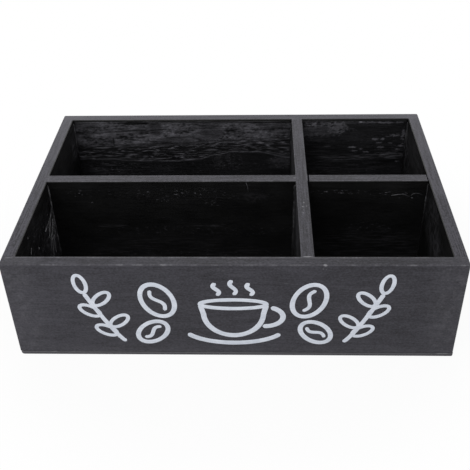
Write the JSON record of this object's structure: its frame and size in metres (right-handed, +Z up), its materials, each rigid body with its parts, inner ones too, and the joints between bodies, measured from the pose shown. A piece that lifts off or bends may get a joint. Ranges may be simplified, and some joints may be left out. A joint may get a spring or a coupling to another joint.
{
  "type": "coffee station organizer",
  "caption": "Low rectangular wooden tray, open on top, with crossed dividers that part it into two long and two square compartments, painted charcoal.",
  "frame": {"origin": "middle of the tray's underside, on the surface that it stands on", "axes": "+X to the right along the front board, +Y to the back, +Z up"},
  "size_m": [0.3004, 0.2054, 0.08],
  "materials": {
    "painted_wood": "matte charcoal paint over sawn softwood, thinner and blacker inside",
    "painted_plywood": "matte black paint over thin plywood",
    "brad_steel": "galvanised wire, painted over on show faces",
    "painted_filler": "sanded wood filler under charcoal paint"
  },
  "bodies": {
    "root": {"front_board": "painted_wood", "back_board": "painted_wood", "left_side": "painted_wood", "right_side": "painted_wood", "front_to_back_divider": "painted_wood", "left_to_right_divider": "painted_wood", "base_panel": "painted_plywood", "front_left_corner_brads": "brad_steel", "front_right_corner_brads": "brad_steel", "back_left_corner_brads": "brad_steel", "back_right_corner_brads": "brad_steel", "divider_front_brads": "brad_steel", "divider_back_brads": "brad_steel", "divider_left_brads": "brad_steel", "divider_right_brads": "brad_steel", "base_rim_brads": "brad_steel", "base_divider_brads": "brad_steel", "front_filler_plugs": "painted_filler"}
  },
  "joints": []
}
